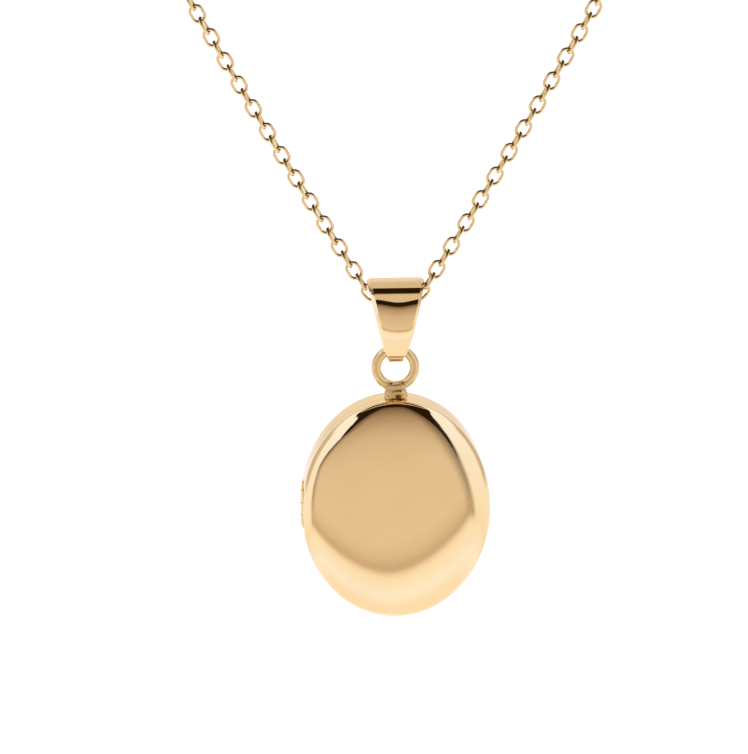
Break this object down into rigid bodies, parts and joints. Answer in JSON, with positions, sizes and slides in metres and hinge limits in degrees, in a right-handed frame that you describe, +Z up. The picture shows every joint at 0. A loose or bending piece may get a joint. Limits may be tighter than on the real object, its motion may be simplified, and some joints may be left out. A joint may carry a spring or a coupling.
{
  "type": "oval locket on cable chain",
  "caption": "Polished oval locket with a side-hinged domed cover, picture frames inside, hanging ring, tapered strap bail and a run of cable chain.",
  "frame": {"origin": "centre of the flat oval on the back of the locket", "axes": "+Z up along the locket's long axis towards the ring, +Y out of the back, -Y out of the domed front, +X to the right of someone facing the front"},
  "size_m": [0.0332, 0.0056, 0.053],
  "materials": {
    "gold": "mirror polished yellow gold",
    "solder": "gold solder, lightly polished and uneven",
    "clear_plastic": "clear, glossy"
  },
  "bodies": {
    "back_half": {"back_cover": "gold", "hinge_pin": "gold", "snap_lip": "gold", "back_photo_frame": "gold", "back_photo_window": "clear_plastic", "ring_seat": "solder", "hanging_ring": "gold"},
    "front_half": {"front_cover": "gold", "front_photo_frame": "gold", "front_photo_window": "clear_plastic"},
    "bail": {"bail": "gold"},
    "link_centre": {"link_centre": "gold"},
    "link_left_01": {"link_left_01": "gold"},
    "link_left_02": {"link_left_02": "gold"},
    "link_left_03": {"link_left_03": "gold"},
    "link_left_04": {"link_left_04": "gold"},
    "link_left_05": {"link_left_05": "gold"},
    "link_left_06": {"link_left_06": "gold"},
    "link_left_07": {"link_left_07": "gold"},
    "link_left_08": {"link_left_08": "gold"},
    "link_left_09": {"link_left_09": "gold"},
    "link_left_10": {"link_left_10": "gold"},
    "link_left_11": {"link_left_11": "gold"},
    "link_left_12": {"link_left_12": "gold"},
    "link_left_13": {"link_left_13": "gold"},
    "link_left_14": {"link_left_14": "gold"},
    "link_left_15": {"link_left_15": "gold"},
    "link_left_16": {"link_left_16": "gold"},
    "link_left_17": {"link_left_17": "gold"},
    "link_left_18": {"link_left_18": "gold"},
    "link_left_19": {"link_left_19": "gold"},
    "link_left_20": {"link_left_20": "gold"},
    "link_left_21": {"link_left_21": "gold"},
    "link_left_22": {"link_left_22": "gold"},
    "link_left_23": {"link_left_23": "gold"},
    "link_left_24": {"link_left_24": "gold"},
    "link_right_01": {"link_right_01": "gold"},
    "link_right_02": {"link_right_02": "gold"},
    "link_right_03": {"link_right_03": "gold"},
    "link_right_04": {"link_right_04": "gold"},
    "link_right_05": {"link_right_05": "gold"},
    "link_right_06": {"link_right_06": "gold"},
    "link_right_07": {"link_right_07": "gold"},
    "link_right_08": {"link_right_08": "gold"},
    "link_right_09": {"link_right_09": "gold"},
    "link_right_10": {"link_right_10": "gold"},
    "link_right_11": {"link_right_11": "gold"},
    "link_right_12": {"link_right_12": "gold"},
    "link_right_13": {"link_right_13": "gold"},
    "link_right_14": {"link_right_14": "gold"},
    "link_right_15": {"link_right_15": "gold"},
    "link_right_16": {"link_right_16": "gold"},
    "link_right_17": {"link_right_17": "gold"},
    "link_right_18": {"link_right_18": "gold"},
    "link_right_19": {"link_right_19": "gold"},
    "link_right_20": {"link_right_20": "gold"},
    "link_right_21": {"link_right_21": "gold"},
    "link_right_22": {"link_right_22": "gold"},
    "link_right_23": {"link_right_23": "gold"},
    "link_right_24": {"link_right_24": "gold"}
  },
  "joints": [
    {"name": "cover_hinge", "type": "hinge", "parent": "back_half", "child": "front_half", "pos_m": [-0.00801, -0.0028, 0], "axis": [0, 0, -1], "range_deg": [0, 150]},
    {"name": "bail_swing", "type": "hinge", "parent": "back_half", "child": "bail", "pos_m": [0, -0.0024, 0.0142], "axis": [1, 0, 0], "range_deg": [-55, 55]},
    {"name": "chain_in_bail", "type": "hinge", "parent": "bail", "child": "link_centre", "pos_m": [0, -0.0024, 0.01937], "axis": [1, 0, 0], "range_deg": [-15, 15]},
    {"name": "link_left_01_sway", "type": "hinge", "parent": "link_centre", "child": "link_left_01", "pos_m": [-0.00076, -0.0024, 0.01874], "axis": [0, 0, -1], "range_deg": [-5, 5]},
    {"name": "link_left_02_drop", "type": "hinge", "parent": "link_left_01", "child": "link_left_02", "pos_m": [-0.00196, -0.0024, 0.01893], "axis": [0, -1, 0], "range_deg": [0, 25]},
    {"name": "link_left_03_sway", "type": "hinge", "parent": "link_left_02", "child": "link_left_03", "pos_m": [-0.00273, -0.0024, 0.01991], "axis": [-0.7314, 0, -0.682], "range_deg": [-20, 20]},
    {"name": "link_left_04_drop", "type": "hinge", "parent": "link_left_03", "child": "link_left_04", "pos_m": [-0.00335, -0.0024, 0.02095], "axis": [0, -1, 0], "range_deg": [-20, 60]},
    {"name": "link_left_05_sway", "type": "hinge", "parent": "link_left_04", "child": "link_left_05", "pos_m": [-0.00398, -0.0024, 0.02199], "axis": [-0.852, 0, -0.5235], "range_deg": [-60, 60]},
    {"name": "link_left_06_drop", "type": "hinge", "parent": "link_left_05", "child": "link_left_06", "pos_m": [-0.00461, -0.0024, 0.02302], "axis": [0, 1, 0], "range_deg": [-60, 60]},
    {"name": "link_left_07_sway", "type": "hinge", "parent": "link_left_06", "child": "link_left_07", "pos_m": [-0.00524, -0.0024, 0.02405], "axis": [0.8544, 0, 0.5197], "range_deg": [-60, 60]},
    {"name": "link_left_08_drop", "type": "hinge", "parent": "link_left_07", "child": "link_left_08", "pos_m": [-0.00586, -0.0024, 0.02509], "axis": [0, -1, 0], "range_deg": [-60, 60]},
    {"name": "link_left_09_sway", "type": "hinge", "parent": "link_left_08", "child": "link_left_09", "pos_m": [-0.00649, -0.0024, 0.02612], "axis": [-0.8567, 0, -0.5158], "range_deg": [-60, 60]},
    {"name": "link_left_10_drop", "type": "hinge", "parent": "link_left_09", "child": "link_left_10", "pos_m": [-0.00711, -0.0024, 0.02716], "axis": [0, 1, 0], "range_deg": [-60, 60]},
    {"name": "link_left_11_sway", "type": "hinge", "parent": "link_left_10", "child": "link_left_11", "pos_m": [-0.00773, -0.0024, 0.0282], "axis": [0.859, 0, 0.5119], "range_deg": [-60, 60]},
    {"name": "link_left_12_drop", "type": "hinge", "parent": "link_left_11", "child": "link_left_12", "pos_m": [-0.00835, -0.0024, 0.02924], "axis": [0, -1, 0], "range_deg": [-60, 60]},
    {"name": "link_left_13_sway", "type": "hinge", "parent": "link_left_12", "child": "link_left_13", "pos_m": [-0.00896, -0.0024, 0.03029], "axis": [-0.8614, 0, -0.508], "range_deg": [-60, 60]},
    {"name": "link_left_14_drop", "type": "hinge", "parent": "link_left_13", "child": "link_left_14", "pos_m": [-0.00957, -0.0024, 0.03133], "axis": [0, 1, 0], "range_deg": [-60, 60]},
    {"name": "link_left_15_sway", "type": "hinge", "parent": "link_left_14", "child": "link_left_15", "pos_m": [-0.01018, -0.0024, 0.03237], "axis": [0.8637, 0, 0.5041], "range_deg": [-60, 60]},
    {"name": "link_left_16_drop", "type": "hinge", "parent": "link_left_15", "child": "link_left_16", "pos_m": [-0.01079, -0.0024, 0.03342], "axis": [0, -1, 0], "range_deg": [-60, 60]},
    {"name": "link_left_17_sway", "type": "hinge", "parent": "link_left_16", "child": "link_left_17", "pos_m": [-0.01139, -0.0024, 0.03447], "axis": [-0.8659, 0, -0.5002], "range_deg": [-60, 60]},
    {"name": "link_left_18_drop", "type": "hinge", "parent": "link_left_17", "child": "link_left_18", "pos_m": [-0.012, -0.0024, 0.03552], "axis": [0, 1, 0], "range_deg": [-60, 60]},
    {"name": "link_left_19_sway", "type": "hinge", "parent": "link_left_18", "child": "link_left_19", "pos_m": [-0.0126, -0.0024, 0.03657], "axis": [0.8682, 0, 0.4962], "range_deg": [-60, 60]},
    {"name": "link_left_20_drop", "type": "hinge", "parent": "link_left_19", "child": "link_left_20", "pos_m": [-0.01319, -0.0024, 0.03762], "axis": [0, -1, 0], "range_deg": [-60, 60]},
    {"name": "link_left_21_sway", "type": "hinge", "parent": "link_left_20", "child": "link_left_21", "pos_m": [-0.01379, -0.0024, 0.03867], "axis": [-0.8704, 0, -0.4923], "range_deg": [-60, 60]},
    {"name": "link_left_22_drop", "type": "hinge", "parent": "link_left_21", "child": "link_left_22", "pos_m": [-0.01438, -0.0024, 0.03973], "axis": [0, 1, 0], "range_deg": [-60, 60]},
    {"name": "link_left_23_sway", "type": "hinge", "parent": "link_left_22", "child": "link_left_23", "pos_m": [-0.01497, -0.0024, 0.04079], "axis": [0.8727, 0, 0.4883], "range_deg": [-60, 60]},
    {"name": "link_left_24_drop", "type": "hinge", "parent": "link_left_23", "child": "link_left_24", "pos_m": [-0.01556, -0.0024, 0.04184], "axis": [0, -1, 0], "range_deg": [-60, 60]},
    {"name": "link_right_01_sway", "type": "hinge", "parent": "link_centre", "child": "link_right_01", "pos_m": [0.00076, -0.0024, 0.01874], "axis": [0, 0, 1], "range_deg": [-5, 5]},
    {"name": "link_right_02_drop", "type": "hinge", "parent": "link_right_01", "child": "link_right_02", "pos_m": [0.00196, -0.0024, 0.01893], "axis": [0, 1, 0], "range_deg": [0, 25]},
    {"name": "link_right_03_sway", "type": "hinge", "parent": "link_right_02", "child": "link_right_03", "pos_m": [0.00273, -0.0024, 0.01991], "axis": [-0.7314, 0, 0.682], "range_deg": [-20, 20]},
    {"name": "link_right_04_drop", "type": "hinge", "parent": "link_right_03", "child": "link_right_04", "pos_m": [0.00335, -0.0024, 0.02095], "axis": [0, 1, 0], "range_deg": [-20, 60]},
    {"name": "link_right_05_sway", "type": "hinge", "parent": "link_right_04", "child": "link_right_05", "pos_m": [0.00398, -0.0024, 0.02199], "axis": [-0.852, 0, 0.5235], "range_deg": [-60, 60]},
    {"name": "link_right_06_drop", "type": "hinge", "parent": "link_right_05", "child": "link_right_06", "pos_m": [0.00461, -0.0024, 0.02302], "axis": [0, -1, 0], "range_deg": [-60, 60]},
    {"name": "link_right_07_sway", "type": "hinge", "parent": "link_right_06", "child": "link_right_07", "pos_m": [0.00524, -0.0024, 0.02405], "axis": [0.8544, 0, -0.5197], "range_deg": [-60, 60]},
    {"name": "link_right_08_drop", "type": "hinge", "parent": "link_right_07", "child": "link_right_08", "pos_m": [0.00586, -0.0024, 0.02509], "axis": [0, 1, 0], "range_deg": [-60, 60]},
    {"name": "link_right_09_sway", "type": "hinge", "parent": "link_right_08", "child": "link_right_09", "pos_m": [0.00649, -0.0024, 0.02612], "axis": [-0.8567, 0, 0.5158], "range_deg": [-60, 60]},
    {"name": "link_right_10_drop", "type": "hinge", "parent": "link_right_09", "child": "link_right_10", "pos_m": [0.00711, -0.0024, 0.02716], "axis": [0, -1, 0], "range_deg": [-60, 60]},
    {"name": "link_right_11_sway", "type": "hinge", "parent": "link_right_10", "child": "link_right_11", "pos_m": [0.00773, -0.0024, 0.0282], "axis": [0.859, 0, -0.5119], "range_deg": [-60, 60]},
    {"name": "link_right_12_drop", "type": "hinge", "parent": "link_right_11", "child": "link_right_12", "pos_m": [0.00835, -0.0024, 0.02924], "axis": [0, 1, 0], "range_deg": [-60, 60]},
    {"name": "link_right_13_sway", "type": "hinge", "parent": "link_right_12", "child": "link_right_13", "pos_m": [0.00896, -0.0024, 0.03029], "axis": [-0.8614, 0, 0.508], "range_deg": [-60, 60]},
    {"name": "link_right_14_drop", "type": "hinge", "parent": "link_right_13", "child": "link_right_14", "pos_m": [0.00957, -0.0024, 0.03133], "axis": [0, -1, 0], "range_deg": [-60, 60]},
    {"name": "link_right_15_sway", "type": "hinge", "parent": "link_right_14", "child": "link_right_15", "pos_m": [0.01018, -0.0024, 0.03237], "axis": [0.8637, 0, -0.5041], "range_deg": [-60, 60]},
    {"name": "link_right_16_drop", "type": "hinge", "parent": "link_right_15", "child": "link_right_16", "pos_m": [0.01079, -0.0024, 0.03342], "axis": [0, 1, 0], "range_deg": [-60, 60]},
    {"name": "link_right_17_sway", "type": "hinge", "parent": "link_right_16", "child": "link_right_17", "pos_m": [0.01139, -0.0024, 0.03447], "axis": [-0.8659, 0, 0.5002], "range_deg": [-60, 60]},
    {"name": "link_right_18_drop", "type": "hinge", "parent": "link_right_17", "child": "link_right_18", "pos_m": [0.012, -0.0024, 0.03552], "axis": [0, -1, 0], "range_deg": [-60, 60]},
    {"name": "link_right_19_sway", "type": "hinge", "parent": "link_right_18", "child": "link_right_19", "pos_m": [0.0126, -0.0024, 0.03657], "axis": [0.8682, 0, -0.4962], "range_deg": [-60, 60]},
    {"name": "link_right_20_drop", "type": "hinge", "parent": "link_right_19", "child": "link_right_20", "pos_m": [0.01319, -0.0024, 0.03762], "axis": [0, 1, 0], "range_deg": [-60, 60]},
    {"name": "link_right_21_sway", "type": "hinge", "parent": "link_right_20", "child": "link_right_21", "pos_m": [0.01379, -0.0024, 0.03867], "axis": [-0.8704, 0, 0.4923], "range_deg": [-60, 60]},
    {"name": "link_right_22_drop", "type": "hinge", "parent": "link_right_21", "child": "link_right_22", "pos_m": [0.01438, -0.0024, 0.03973], "axis": [0, -1, 0], "range_deg": [-60, 60]},
    {"name": "link_right_23_sway", "type": "hinge", "parent": "link_right_22", "child": "link_right_23", "pos_m": [0.01497, -0.0024, 0.04079], "axis": [0.8727, 0, -0.4883], "range_deg": [-60, 60]},
    {"name": "link_right_24_drop", "type": "hinge", "parent": "link_right_23", "child": "link_right_24", "pos_m": [0.01556, -0.0024, 0.04184], "axis": [0, 1, 0], "range_deg": [-60, 60]}
  ]
}
